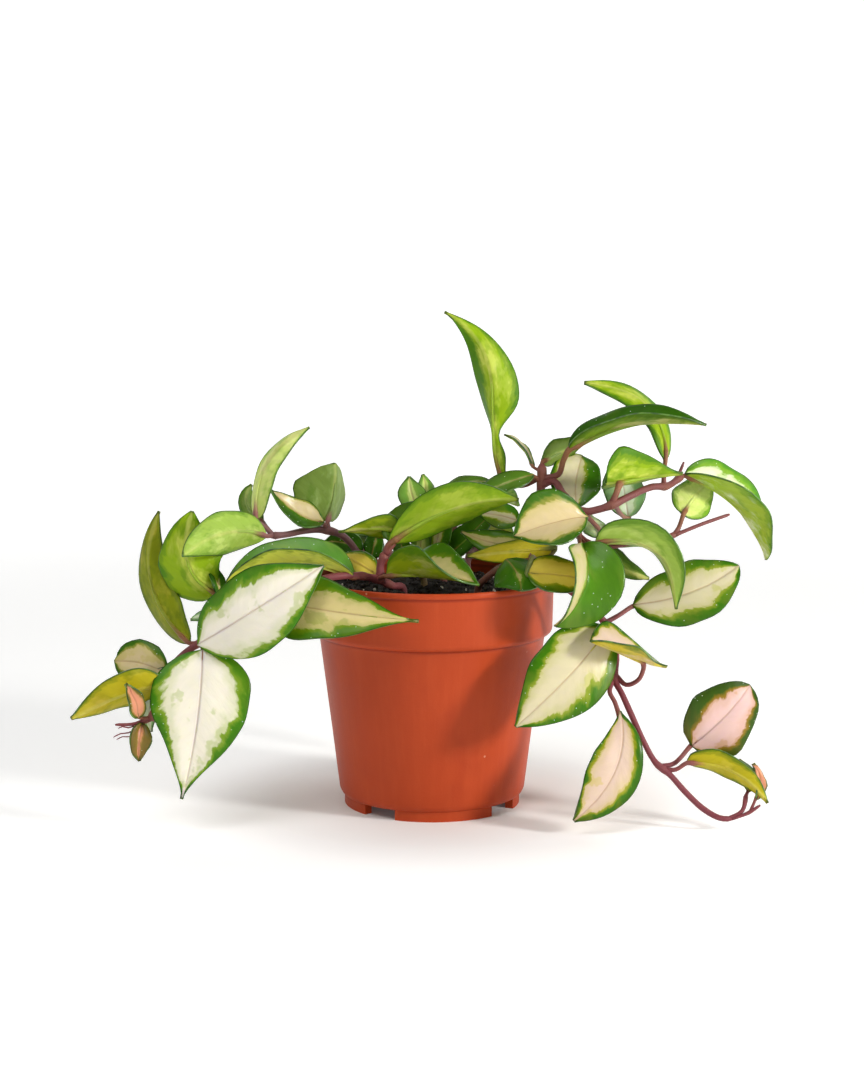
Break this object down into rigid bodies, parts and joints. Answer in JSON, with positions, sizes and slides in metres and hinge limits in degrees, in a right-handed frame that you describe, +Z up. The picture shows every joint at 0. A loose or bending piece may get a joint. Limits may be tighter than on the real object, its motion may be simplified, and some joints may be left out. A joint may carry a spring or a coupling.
{
  "type": "potted hoya plant",
  "caption": "Trailing variegated hoya with waxy pointed leaves on arching stems, in a terracotta-coloured plastic nursery pot.",
  "frame": {"origin": "on the pot's axis, level with the undersides of its feet, under the middle of the plant's box", "axes": "+Z up, +X to the right as seen from the front, the front towards -Y"},
  "size_m": [0.3334, 0.1451, 0.2394],
  "materials": {
    "terracotta_plastic": "satin terracotta orange with faint upright streaks",
    "peat": "near-black peat with white perlite grains, rough",
    "foliage": "waxy green leaves with cream and pink centres, on maroon stems"
  },
  "bodies": {
    "root": {"pot": "terracotta_plastic", "soil": "peat", "left_front_stem": "foliage", "left_back_stem": "foliage", "centre_stem": "foliage", "right_high_stem": "foliage", "right_low_stem": "foliage", "right_front_stem": "foliage", "back_left_stem": "foliage", "back_right_stem": "foliage", "back_high_stem": "foliage"}
  },
  "joints": []
}
